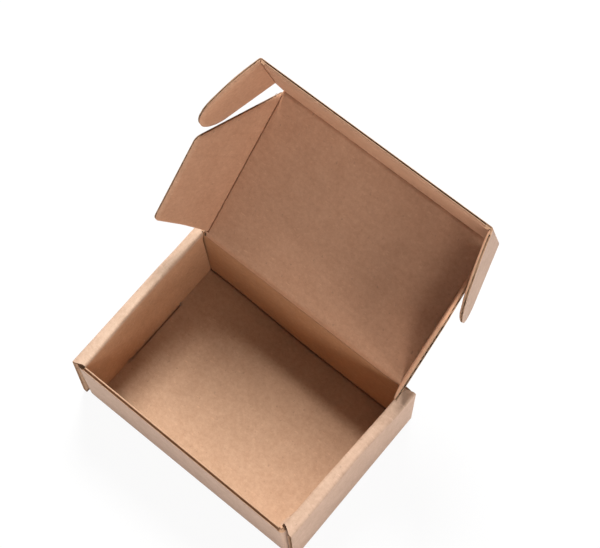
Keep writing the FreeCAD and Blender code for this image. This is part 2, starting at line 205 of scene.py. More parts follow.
# How far their back edges lean, halfway and outside, and their front edges
DUST_BACK = {"left": (5.7, 9.7), "right": (7.0, 13.6)}
DUST_SHOULDER = {"left": 36.5, "right": 34.0}
DUST_ROUNDS = (6.0, 4.0, 30.0)    # radii at the front, at the back and where the back edge bends
FLUTE_GAP = (3.0, 0.3, 0.25)      # a flap's fluting keeps this far from its crease, sides and end
ANGLES = {"left_ear": 106.5, "right_ear": 105.5, "left_dust": 110.0, "right_dust": 102.0}
BLANK = 300.0             # from the tray's middle to the hinge on the flat map

# Paper, as written sRGB.  Painted light and shade are pairs of a place on the flat map in metres
# and a tone
INSIDE_TONES = ((200, 161, 131), (176, 136, 106))
# Painted light and shade inside: the front wall and the floor's front lighter, the back of the
# floor and the back wall darker and redder, the lid and flaps redder
INSIDE_PAINTED_LIGHT_SHADE = ((-0.06, (202, 170, 142)), (0.02, (199, 162, 132)), (0.055, (192, 152, 119)),
                (0.07, (184, 136, 98)), (0.125, (186, 139, 102)), (0.30, (205, 158, 127)))
OUTSIDE_TONES = ((202, 171, 150), (176, 144, 122))
# Painted light and shade outside: the left strip and the top of the left outer panel lighter, the
# inner panels darker and redder
OUTSIDE_PAINTED_LIGHT_SHADE = ((-0.23, (200, 152, 114)), (-0.163, (204, 158, 122)), (-0.1595, (214, 185, 161)),
                 (-0.15, (206, 174, 151)), (0.0, (200, 168, 148)), (0.15, (203, 170, 148)),
                 (0.1595, (203, 172, 148)), (0.163, (204, 158, 122)), (0.23, (200, 152, 114)))
CUT_TONES = ((188, 150, 120), (152, 116, 88))

# Studio
FLOOR_TONE = 0.86
FLOOR_GLOW = 0.93         # how much of the floor's look is a plain glow to the camera
FLOOR_SIZE = 6.0
FLOOR_DROP = 0.0002
WORLD_LIGHT = 0.17
LIGHT_AIM = (0, 0.02, 0.06)
LIGHT_DISTANCE = 2.0
LIGHTS = (                # name, azimuth, elevation, watts and size
    ("key", 122.0, 54.0, 61.0, 0.75),
    ("front_fill", 300.0, 10.0, 11.5, 0.6),
    ("corner_fill", 335.0, 22.0, 10.0, 0.6),
    ("right_fill", 30.0, 25.0, 7.0, 0.6),
)
CAMERA_PLACE = (0.25052, -0.21025, 1.10847)
CAMERA_TURN = 43.0        # degrees, to the left of the view along y
CAMERA_DOWN = 69.47
CAMERA_ROLL = -3.63
CAMERA_LENS = 103.54


# ---------------------------------------------------------------- bent sheets

def turned(v, angle):
    """A flat vector turned to the left."""
    return Vector((v.x * cos(angle) - v.y * sin(angle), v.x * sin(angle) + v.y * cos(angle)))


def bent_path(points, radii, spacing=10.0, arc_steps=7):
    """Rows along a centre line: (place, left-hand normal, distance), fine in its bends."""
    points = [Vector(p) for p in points]
    start = points[0]
    rows = []
    gone = 0.0
    for i in range(1, len(points)):
        tangent = (points[i] - points[i - 1]).normalized()
        normal = Vector((-tangent.y, tangent.x))
        turn = 0.0
        reach = 0.0
        if i < len(points) - 1:
            onward = (points[i + 1] - points[i]).normalized()
            turn = atan2(tangent.x * onward.y - tangent.y * onward.x, tangent.dot(onward))
            reach = radii[i - 1] * tan(abs(turn) / 2)
        stop = points[i] - tangent * reach
        length = (stop - start).length
        count = max(1, ceil(length / spacing))
        first = 1 if rows else 0
        for k in range(first, count + 1):
            rows.append((start + tangent * (length * k / count), normal, gone + length * k / count))
        gone += length
        start = stop
        if abs(turn) > SAME:
            radius = radii[i - 1]
            centre = stop + normal * (radius if turn > 0 else -radius)
            for k in range(1, arc_steps + 1):
                angle = turn * k / arc_steps
                rows.append((centre + turned(stop - centre, angle), turned(normal, angle),
                             gone + radius * abs(angle)))
            gone += radius * abs(turn)
            start = points[i] + onward * reach
    return rows


def along(rows, s):
    """Place and normal at a distance along the rows."""
    for a, b in zip(rows, rows[1:]):
        if s <= b[2] and b[2] > a[2]:
            t = max(0.0, (s - a[2]) / (b[2] - a[2]))
            return a[0].lerp(b[0], t), a[1].lerp(b[1], t).normalized()
    tangent = Vector((rows[-1][1].y, -rows[-1][1].x))
    return rows[-1][0] + tangent * (s - rows[-1][2]), rows[-1][1]


def refined(rows, marks):
    """The same path with rows added at the given distances."""
    last = rows[-1][2]
    new = [m for m in marks if 0 < m < last and min(abs(m - r[2]) for r in rows) > 0.05]
    return sorted(rows + [(*along(rows, m), m) for m in new], key=lambda r: r[2])


def bends(rows):
    """Distances to the middle of each bend of a path."""
    found = []
    for a, b in zip(rows, rows[1:]):
        if a[1].angle(b[1]) > ROUNDING:
            if found and a[2] - found[-1][1] < SAME:
                found[-1][1] = b[2]
            else:
                found.append([a[2], b[2]])
    return [(low + high) / 2 for low, high in found]


def near(marks, steps=(0.45, 0.8, 1.2, 1.8, 2.6)):
    """Distances on both sides of each mark."""
    return [m + sign * d for m in marks for d in steps for sign in (1, -1)]


def creased(s, at, deep, width):
    """How far a crease presses the inner liner in."""
    return deep * exp(-((s - at) / width) ** 2)


def crushed(gap, deep=EDGE_CRUSH[0], width=EDGE_CRUSH[1]):
    """How far the die has pressed the inner liner down at a distance from a cut edge."""
    return deep * max(0.0, 1 - gap / width) ** CRUSH_CURVE


def waved(wave, pressed, inner):
    """Offset of the fluting's middle between a flat liner and one that is pressed in."""
    swing = HALF - LINER - MEDIUM / 2 - pressed / 2
    return wave * max(swing, 0.05) - inner * pressed / 2


def share_of(value, low, high):
    """0 below low, 1 above high and straight between."""
    return min(1.0, max(0.0, (value - low) / (high - low)))


def ramp(value, low, high):
    """0 below low, 1 above high and smooth between."""
    t = share_of(value, low, high)
    return t * t * (3 - 2 * t)


def settled(point):
    """Where a spot on the tray really stands.

    The back wall's foot slips forward, the front wall and the double walls' panels lean, the loose
    front ends of the left wall and of the front wall's right tab are bent, and the strips sag.
    """
    x, y, z = point
    rise = z / HEIGHT
    outside = LENGTH / 2
    inside = outside - DOUBLE_WALL
    outer_ply = outside - BOARD - PLY_AIR / 2
    front = 1 - ramp(y, *FRONT_LEAN_DEPTH)
    slip = BACK_SLIP[0] + (BACK_SLIP[1] - BACK_SLIP[0]) * ramp(x, *SLIP_ACROSS)
    forward = slip * max(0.0, 1 - z / HINGE.z) * ramp(y, *SLIP_DEPTH)
    if x < outer_ply and not (x > inside and z > UNDER_STRIP):
        lean = FRONT_LEAN[0] + (FRONT_LEAN[1] - FRONT_LEAN[0]) * (x + outside) / LENGTH
        forward += lean * rise * front
    if abs(x) < inside:
        inner, outer = 1 - min(1.0, (inside - abs(x)) / PANEL_FADE), 0.0
    else:
        inner, outer = (outside - abs(x)) / DOUBLE_WALL, (abs(x) - inside) / DOUBLE_WALL
    if x < 0:
        across = -LEFT_LEAN * inner * ramp(y, *LEFT_LEAN_DEPTH) * rise
        loose = share_of(-x, outside - 2 * BOARD, outside - BOARD) * max(0.0, 1 - rise)
        across -= FLARE[0] * loose * (1 - ramp(y, *FLARE_DEPTH[0]))
        if -x > outer_ply:
            forward += FLARE[1] * loose * (1 - ramp(y, *FLARE_DEPTH[1]))
    else:
        across = RIGHT_LEAN[0] * inner * ramp(y, *RIGHT_LEAN_DEPTH[0])
        across += RIGHT_LEAN[1] * outer * ramp(y, *RIGHT_LEAN_DEPTH[1])
        across -= RIGHT_PINCH * inner * (1 - ramp(y, *PINCH_DEPTH))
        across *= rise
        if x < outer_ply and z < UNDER_STRIP:
            short = share_of(x - inside, *INSET_ACROSS) * (1 - ramp(y, *INSET_DEPTH))
            across -= TAB_INSET * short * ramp(z, *INSET_HEIGHT)
    dip = 0.0
    if abs(x) > inside - STEP:
        dip = DIP[0 if x < 0 else 1] * ramp(y, *DIP_DEPTH) * ramp(z, *DIP_HEIGHT)
    return Vector((x + across, y - forward, z - dip))


class Sheet:
    """A board being laid up: vertices in the row frame, faces with their paper, and a flat map."""

    def __init__(self, plane, paper_map, settle=None):
        self.plane = plane
        self.paper_map = paper_map
        self.settle = settle
        self.points = []
        self.flat = []
        self.faces = []
        self.papers = []

    def vertex(self, place, normal, offset, s, c):
        a = place.x + normal.x * offset
        b = place.y + normal.y * offset
        point = self.plane @ Vector((a, b, c))
        self.points.append((self.settle(point) if self.settle else point) * MM)
        self.flat.append(self.paper_map(s, c))
        return len(self.points) - 1

    def face(self, corners, paper):
        self.faces.append(corners)
        self.papers.append(paper)

    def skin(self, upper, lower, holes, paper):
        """One paper: two layers of vertices on the same grid, closed round every edge."""
        count_i, count_j = len(upper) - 1, len(upper[0]) - 1
        solid = {(i, j) for i in range(count_i) for j in range(count_j)} - set(holes)
        for i, j in sorted(solid):
            cell = [(i, j), (i, j + 1), (i + 1, j + 1), (i + 1, j)]
            self.face([upper[p][q] for p, q in cell], paper)
            self.face([lower[p][q] for p, q in reversed(cell)], 2)
            for (di, dj), (p, q) in zip(((0, -1), (1, 0), (0, 1), (-1, 0)),
                                        ((3, 0), (2, 3), (1, 2), (0, 1))):
                if (i + di, j + dj) not in solid:
                    m, n = cell[p], cell[q]
                    self.face([upper[m[0]][m[1]], upper[n[0]][n[1]],
                               lower[n[0]][n[1]], lower[m[0]][m[1]]], 2)

    def finish(self, name, papers):
        mesh = bpy.data.meshes.new(name)
        mesh.from_pydata(self.points, [], self.faces)
        layer = mesh.uv_layers.new(name="flat")
        for loop in mesh.loops:
            layer.data[loop.index].uv = self.flat[loop.vertex_index]
        for paper in papers:
            mesh.materials.append(paper)
        mesh.polygons.foreach_set("material_index", self.papers)
        work = bmesh.new()
        work.from_mesh(mesh)
        bmesh.ops.recalc_face_normals(work, faces=work.faces)
        for face in work.faces:
            face.smooth = True
        for edge in work.edges:
            edge.smooth = len(edge.link_faces) == 2 and edge.calc_face_angle() < radians(30)
        work.to_mesh(mesh)
        work.free()
        made = bpy.data.objects.new(name, mesh)
        bpy.context.collection.objects.link(made)
        return made


def lay_liners(sheet, rows, columns, ends, fan=False, inner=1, feet=None, holes=(), sink=None):
    """Both liners of a board.

    ends gives each row's limits in c, and fan spreads the columns between them.  feet lengthens
    the last row, and sink is how far the inner liner is pressed in.
    """
    layers = {(side, depth): [] for side in (1, -1) for depth in (HALF, HALF - LINER)}
    for i, (place, normal, s) in enumerate(rows):
        low, high = ends(place, s)
        spots = []
        for j, c in enumerate(columns):
            if fan:
                c = low + (high - low) * (c - columns[0]) / (columns[-1] - columns[0])
            elif j == 0:
                c = low
            elif j == len(columns) - 1:
                c = high
            spot = place
            if feet and i == len(rows) - 1:
                spot = place + Vector((normal.y, -normal.x)) * feet[j]
            spots.append((spot, c, sink(place, s, c) if sink else 0.0))
        for (side, depth), grid in layers.items():
            sunk = 1 if side == inner else 0
            grid.append([sheet.vertex(spot, normal, side * (depth - sunk * pressed), s, c)
                         for spot, c, pressed in spots])
    for side in (1, -1):
        sheet.skin(layers[side, HALF], layers[side, HALF - LINER], holes, 0 if side == inner else 1)


def lay_fluting(sheet, rows, low, high, start, reach, inner=1, sink=None):
    """Waves that repeat along c and run along the path, from start to reach(c)."""
    count = ceil((high - low) / PITCH * WAVE_STEPS)
    stops = [r[2] for r in rows if r[2] > start + STEP]
    layers = []
    for face in (MEDIUM / 2, -MEDIUM / 2):
        grid = []
        for k in range(count + 1):
            c = low + (high - low) * k / count
            end = max(start + STEP, reach(c))
            line = []
            for s in [start] + stops:
                s = min(s, end)
                place, normal = along(rows, s)
                pressed = sink(place, s, c) if sink else 0.0
                middle = waved(sin(2 * pi * c / PITCH), pressed, inner)
                line.append(sheet.vertex(place, normal, middle + face, s, c))
            grid.append(line)
        layers.append(grid)
    sheet.skin(layers[0], layers[1], (), 2)


def lay_cap(sheet, rows, ends, edge, inner=1, sink=None):
    """Flutes crushed flat near a cut edge: a thin closed strip across the board.

    edge says which of a row's two ends is closed, -1 for the low one and 1 for the high one.
    """
    layers = []
    for depth in (CAP_DEPTH, CAP_DEPTH + MEDIUM):
        grid = []
        for place, normal, s in rows:
            c = ends(place, s)[1 if edge > 0 else 0] - edge * depth
            pressed = sink(place, s, c) if sink else 0.0
            high = HALF - LINER - (pressed if inner == 1 else 0.0)
            low = HALF - LINER - (0.0 if inner == 1 else pressed)
            grid.append([sheet.vertex(place, normal, d, s, c) for d in (high, -low)])
        layers.append(grid)
    sheet.skin(layers[0], layers[1], (), 2)


def lay_cross_fluting(sheet, rows, start, end, low, high, inner=1, sink=None):
    """Waves that repeat along the path and run along c, between two distances."""
    count = max(2, ceil(abs(end - start) / PITCH * WAVE_STEPS))
    layers = []
    for face in (MEDIUM / 2, -MEDIUM / 2):
        grid = []
        for k in range(count + 1):
            s = start + (end - start) * k / count
            place, normal = along(rows, s)
            pressed = sink(place, s, low) if sink else 0.0
            middle = waved(cos(2 * pi * (s - end) / PITCH + WAVE_TURN), pressed, inner)
            grid.append([sheet.vertex(place, normal, middle + face, s, c) for c in (low, high)])
        layers.append(grid)
    sheet.skin(layers[0], layers[1], (), 2)


# ---------------------------------------------------------------- outlines

def rounded(corners, steps=6):
    """Points of a closed outline from (x, y, radius) corners."""
    points = []
    count = len(corners)
    for i, (x, y, radius) in enumerate(corners):
        here = Vector((x, y))
        if radius == 0:
            points.append(here)
            continue
        back = (Vector(corners[i - 1][:2]) - here).normalized()
        on = (Vector(corners[(i + 1) % count][:2]) - here).normalized()
        half = back.angle(on) / 2
        centre = here + (back + on).normalized() * (radius / sin(half))
        first = here + back * (radius / tan(half)) - centre
        turn = pi - 2 * half
        side = 1 if first.x * on.y - first.y * on.x > 0 else -1
        for k in range(steps + 1):
            points.append(centre + turned(first, side * turn * k / steps))
    return points


def limits(outline, level, axis):
    """Lowest and highest coordinate of an outline on the line where the other one is level."""
    other = 1 - axis
    found = []
    for a, b in zip(outline, outline[1:] + outline[:1]):
        if min(a[other], b[other]) - SAME <= level <= max(a[other], b[other]) + SAME:
            if abs(a[other] - b[other]) < SAME:
                found += [a[axis], b[axis]]
            else:
                t = (level - a[other]) / (b[other] - a[other])
                found.append(a[axis] + (b[axis] - a[axis]) * t)
    return min(found), max(found)


def edge_gap(outline, spot):
    """Distance from a spot on a flap to its cut edge; the crease, at height 0, does not count."""
    gaps = []
    for a, b in zip(outline, outline[1:] + outline[:1]):
        if a.y < SAME and b.y < SAME:
            continue
        span = b - a
        t = min(1.0, max(0.0, (spot - a).dot(span) / span.length_squared))
        gaps.append((a + span * t - spot).length)
    return min(gaps)


def spread(low, high, step):
    """Even columns from low to high, at most a step apart."""
    count = max(1, ceil((high - low) / step))
    return [low + (high - low) * k / count for k in range(count + 1)]


def edged(low, high, step, steps=(0.4, 0.9, 1.6, 2.6)):
    """Columns from low to high that are fine near both ends."""
    inside = spread(low + steps[-1], high - steps[-1], step)
    first = [low] + [low + d for d in steps[:-1]]
    last = [high - d for d in reversed(steps[:-1])] + [high]
    return first + inside + last


def plane_of(origin, a, b, c):
    """Matrix from (a, b, c) in a sheet's own plane to the row frame."""
    matrix = Matrix((a, b, c)).transposed().to_4x4()
    matrix.translation = origin
    return matrix


def kept(piece, node):
    """The piece dressed in board, in place of its CAD node."""
    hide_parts(node)
    return piece


# ---------------------------------------------------------------- materials

def node(tree, kind, **values):
    """A new shader node with its settings and its inputs' values."""
    made = tree.nodes.new(kind)
    for key, value in values.items():
        if hasattr(made, key):
            setattr(made, key, value)
        else:
            made.inputs[key.replace("_", " ")].default_value = value
    return made


def calc(tree, operation, first, second=None):
    """The output of a math node on numbers or sockets."""
    made = tree.nodes.new("ShaderNodeMath")
    made.operation = operation
    for i, value in enumerate((first, second)):
        if value is None:
            continue
        if isinstance(value, (int, float)):
            made.inputs[i].default_value = value
        else:
            tree.links.new(value, made.inputs[i])
    return made.outputs[0]


def swing(tree, value, size):
    """A value from 0 to 1 as a swing about nothing."""
    return calc(tree, "MULTIPLY", calc(tree, "SUBTRACT", value, 0.5), size)


def noise(tree, vector, scale, detail=4.0, roughness=0.6, stretch=(1, 1, 1)):
    """Noise on the sheet's flat map, in features per metre, optionally drawn out."""
    mapping = node(tree, "ShaderNodeMapping")
    mapping.inputs["Scale"].default_value = [scale * k for k in stretch]
    tree.links.new(vector, mapping.inputs["Vector"])
    made = node(tree, "ShaderNodeTexNoise", Scale=1.0, Detail=detail, Roughness=roughness)
    tree.links.new(mapping.outputs[0], made.inputs["Vector"])
    return made.outputs["Fac"]


def mix_colour(tree, factor, first, second):
    made = node(tree, "ShaderNodeMix", data_type="RGBA", blend_type="MIX")
    sockets = [s for s in made.inputs if s.enabled]
    for socket, value in zip(sockets, (factor, first, second)):
        if isinstance(value, (tuple, list, int, float)):
            socket.default_value = value
        else:
            tree.links.new(value, socket)
    return next(s for s in made.outputs if s.enabled)


def linear(rgb):
    """A written sRGB colour, 0 to 255, as linear light."""
    out = []
    for value in rgb:
        value /= 255
        out.append(value / 12.92 if value <= 0.04045 else ((value + 0.055) / 1.055) ** 2.4)
    return (*out, 1.0)


def painted_shading(tree, place, shading_paint):
    """Painted light and shade: a tone that changes with a place on the flat map, by pairs of a
    place and a tone.
    """
    span = node(tree, "ShaderNodeMapRange")
    span.inputs["From Min"].default_value = shading_paint[0][0]
    span.inputs["From Max"].default_value = shading_paint[-1][0]
    tree.links.new(place, span.inputs["Value"])
    tones = node(tree, "ShaderNodeValToRGB")
    tree.links.new(span.outputs[0], tones.inputs["Fac"])
    stops = tones.color_ramp.elements
    for at, _ in shading_paint[1:-1]:
        stops.new((at - shading_paint[0][0]) / (shading_paint[-1][0] - shading_paint[0][0]))
    for stop, (_, paint) in zip(stops, shading_paint):
        stop.color = linear(paint)
    return tones.outputs[0]


def kraft(name, tone, dark, shading_paint=(), across=False, washboard=0.2, fuzz=0.0):
    """Kraft paper: clouding, mottling, fibres, flecks, and the fluting that shows through, as bumps
    and as painted shade along its ribs.

    The painted light and shade tones are placed along the blank, or across it.
    """
    material = bpy.data.materials.new(name)
    material.use_nodes = True
    tree = material.node_tree
    shader = tree.nodes["Principled BSDF"]
    flat = node(tree, "ShaderNodeUVMap", uv_map="flat").outputs[0]
    parts = node(tree, "ShaderNodeSeparateXYZ")
    tree.links.new(flat, parts.inputs[0])
    cloud = noise(tree, flat, 75.0, detail=4.0, roughness=0.6)
    mottle = noise(tree, flat, 330.0, detail=3.0, roughness=0.65)
    fibre = noise(tree, flat, 1300.0, detail=2.0, roughness=0.6, stretch=(1.0, 0.5, 1.0))
    cross = noise(tree, flat, 1150.0, detail=2.0, roughness=0.6, stretch=(0.5, 1.0, 1.0))
    fleck = noise(tree, flat, 520.0, detail=2.0, roughness=0.5, stretch=(1.0, 0.6, 1.0))
    hair = noise(tree, flat, 640.0, detail=1.0, roughness=0.4, stretch=(0.35, 1.0, 1.0))
    grain = calc(tree, "ADD", calc(tree, "MULTIPLY", fibre, 0.5),
                 calc(tree, "MULTIPLY", cross, 0.5))
    shade = calc(tree, "ADD", swing(tree, cloud, 0.8), swing(tree, mottle, 1.2))
    shade = calc(tree, "ADD", shade, swing(tree, grain, 1.1))
    clamp = node(tree, "ShaderNodeClamp")
    tree.links.new(calc(tree, "ADD", shade, 0.5), clamp.inputs["Value"])
    share = [v / w for v, w in zip(linear(dark), linear(tone))]
    deep = node(tree, "ShaderNodeVectorMath", operation="MULTIPLY")
    # Painted light and shade, as tones laid over the blank
    if shading_paint:
        light = painted_shading(tree, parts.outputs[0 if across else 1], shading_paint)
        tree.links.new(light, deep.inputs[0])
    else:
        light = linear(tone)
        deep.inputs[0].default_value = light[:3]
    deep.inputs[1].default_value = share[:3]
    colour = mix_colour(tree, clamp.outputs[0], deep.outputs[0], light)
    # Each speck's noise, the values over which it comes in, the most it covers, and its paint
    specks = ((fleck, 0.67, 0.76, 0.4, [v * 0.7 for v in dark]),
              (hair, 0.68, 0.76, 0.25, [min(255, v * 1.14) for v in tone]))
    for source, low, high, most, paint in specks:
        speck = node(tree, "ShaderNodeMapRange")
        speck.inputs["From Min"].default_value = low
        speck.inputs["From Max"].default_value = high
        speck.inputs["To Max"].default_value = most
        tree.links.new(source, speck.inputs["Value"])
        colour = mix_colour(tree, speck.outputs[0], colour, linear(paint))
    # Painted shade along the fluting's ribs: the colour is made a little darker and lighter with
    # each wave
    wave = calc(tree, "SINE", calc(tree, "MULTIPLY", parts.outputs[1], 2 * pi / (PITCH * MM)))
    rib_shade = calc(tree, "MULTIPLY", wave, 0.035 * washboard)
    rib_shaded = node(tree, "ShaderNodeVectorMath", operation="SCALE")
    tree.links.new(colour, rib_shaded.inputs[0])
    tree.links.new(calc(tree, "ADD", 1.0, rib_shade), rib_shaded.inputs["Scale"])
    tree.links.new(rib_shaded.outputs[0], shader.inputs["Base Color"])
    rough = node(tree, "ShaderNodeMapRange")
    rough.inputs["To Min"].default_value = 0.66
    rough.inputs["To Max"].default_value = 0.9
    tree.links.new(grain, rough.inputs["Value"])
    tree.links.new(rough.outputs[0], shader.inputs["Roughness"])
    shader.inputs["Specular IOR Level"].default_value = 0.3
    shader.inputs["Sheen Weight"].default_value = fuzz
    shader.inputs["Sheen Roughness"].default_value = 0.5
    # Heights in metres
    relief = calc(tree, "ADD", calc(tree, "MULTIPLY", grain, 0.00006),
                  calc(tree, "MULTIPLY", wave, 0.00004 * washboard))
    relief = calc(tree, "ADD", relief, calc(tree, "MULTIPLY", mottle, 0.00010))
    relief = calc(tree, "ADD", relief, calc(tree, "MULTIPLY", cloud, 0.00015))
    bump = node(tree, "ShaderNodeBump", Strength=0.8, Distance=1.0)
    tree.links.new(relief, bump.inputs["Height"])
    tree.links.new(bump.outputs[0], shader.inputs["Normal"])
    return material


def white_stage():
    """A pale floor that reads white to the camera and still takes a soft shadow."""
    material = bpy.data.materials.new("pale_floor")
    material.use_nodes = True
    tree = material.node_tree
    tree.nodes.clear()
    out = node(tree, "ShaderNodeOutputMaterial")
    matt = node(tree, "ShaderNodeBsdfDiffuse", Color=(FLOOR_TONE, FLOOR_TONE, FLOOR_TONE, 1.0))
    glow = node(tree, "ShaderNodeEmission", Color=(1.0, 1.0, 1.0, 1.0), Strength=1.0)
    light = node(tree, "ShaderNodeLightPath")
    seen = calc(tree, "MAXIMUM", light.outputs["Is Camera Ray"], light.outputs["Is Glossy Ray"])
    share = calc(tree, "MULTIPLY", seen, FLOOR_GLOW)
    mixed = node(tree, "ShaderNodeMixShader")
    tree.links.new(share, mixed.inputs[0])
    tree.links.new(matt.outputs[0], mixed.inputs[1])
    tree.links.new(glow.outputs[0], mixed.inputs[2])
    tree.links.new(mixed.outputs[0], out.inputs["Surface"])
    return material


INSIDE = kraft("kraft_inside", *INSIDE_TONES, shading_paint=INSIDE_PAINTED_LIGHT_SHADE)
OUTSIDE = kraft("kraft_outside", *OUTSIDE_TONES, shading_paint=OUTSIDE_PAINTED_LIGHT_SHADE, across=True, fuzz=0.06)
CUT = kraft("kraft_cut_edge", *CUT_TONES, washboard=0.0)
PAPERS = (INSIDE, OUTSIDE, CUT)


# ---------------------------------------------------------------- tray

XYZ = plane_of(Vector((0, 0, 0)), Vector((1, 0, 0)), Vector((0, 1, 0)), Vector((0, 0, 1)))


def fold_sink(folds, deep=WALL_PRESS[0], width=WALL_PRESS[1]):
    """The inner liner's creases at a path's folds."""
    return lambda place, s, c: max(creased(s, at, deep, width) for at in folds)


def base_sheet():
    """The base between the side walls, and the front and back walls' bottom folds."""
    wall = Y0 + HALF
    turn = Y0 + FOLD_REACH
    flat_from = X0 + BOARD + PLY_AIR + TAB_BEND + HALF
    points = [(wall, FOOT_TOP), (wall, HALF), (turn + STEP, HALF), (-turn - STEP, HALF),
              (-wall, HALF), (-wall, FOOT_TOP)]
    rows = bent_path(points, [FOLD, 0, 0, FOLD], spacing=8.0)
    folds = bends(rows)
    rows = refined(rows, near(folds))

    def ends(place, s):
        edge = X0 + FLOOR_EDGE if abs(place.x) < -turn - STEP / 2 else flat_from
        return edge, -edge

    plane = plane_of(Vector((0, 0, 0)), Vector((0, 1, 0)), Vector((0, 0, 1)), Vector((1, 0, 0)))
    middle = rows[-1][2] / 2
    sheet = Sheet(plane, lambda s, c: (c * MM, (s - middle) * MM), settled)
    columns = spread(X0 + FLOOR_EDGE, -X0 - FLOOR_EDGE, 8.0)
    lay_liners(sheet, rows, columns, ends, inner=1, sink=fold_sink(folds, *BASE_PRESS))
    return sheet.finish("base_sheet", PAPERS)


def end_wall(name, side, tab, top, shoulder=None):
    """A front (side -1) or back (side 1) wall with its corner tabs, drawn in plan."""
    wall = side * (-Y0 - HALF)
    tab_x = X0 + BOARD + PLY_AIR + HALF
    tab_end = side * (-Y0 - tab)
    notch = X0 + DOUBLE_WALL + NOTCH_AIR
    crease = -LID_HALF
    turn = tab_x + TAB_BEND
    marks = [notch, notch + STEP]
    if shoulder:
        marks += [crease, crease + STEP]
    marks += [-m for m in reversed(marks)]
    points = [(tab_x, tab_end), (tab_x, wall)] + [(m, wall) for m in marks]
    points += [(-tab_x, wall), (-tab_x, tab_end)]
    rows = bent_path(points, [TAB_BEND] + [0] * len(marks) + [TAB_BEND])

    def band_top(x):
        return BACK_RIGHT_BAND if shoulder and x > 0 else BAND_TOP

    def ends(place, s):
        deep = abs(place.y - wall)
        if deep > TAB_BEND:
            narrow = TAB_TAPER * (deep - TAB_BEND) / (tab - TAB_BEND)
            return BAND_FOOT + narrow, band_top(place.x) - narrow
        if abs(place.x) > -turn + ROUNDING:
            return BEND_FOOT + (BAND_FOOT - BEND_FOOT) * deep / TAB_BEND, band_top(place.x)
        high = TORN_TOP if shoulder and place.x < 0 else band_top(place.x)
        if abs(place.x) < -notch - STEP / 2:
            high = shoulder if shoulder else top
        if shoulder and abs(place.x) < -crease - STEP / 2:
            high = top
        return FOOT_TOP, high

    def sink(place, s, c):
        return crushed(top - c, *FRONT_CRUSH)

    pressed = None if shoulder else sink
    middle = rows[-1][2] / 2
    sheet = Sheet(XYZ, lambda s, c: ((s - middle) * MM, side * (c - Y0) * MM), settled)
    columns = spread(FOOT_TOP, top - 3.0, 9.0) + [top - d for d in (2.0, 1.3, 0.7, 0.3, 0.0)]
    lay_liners(sheet, rows, columns, ends, fan=True, inner=-side, sink=pressed)
    flat = [r for r in rows if abs(r[0].x) <= -notch]
    if not shoulder:
        crest = top - FRONT_FLUTES
        lay_fluting(sheet, flat, crest - PITCH, crest, flat[0][2], lambda c: flat[-1][2], -side,
                    sink)
    for hand in (-1, 1):
        corner = [r for r in rows
                  if hand * r[0].x >= -notch - STEP / 2 and abs(r[0].y - wall) < CAP_REACH]
        lay_cap(sheet, corner, ends, 1, -side, pressed)
    return sheet.finish(name, PAPERS)


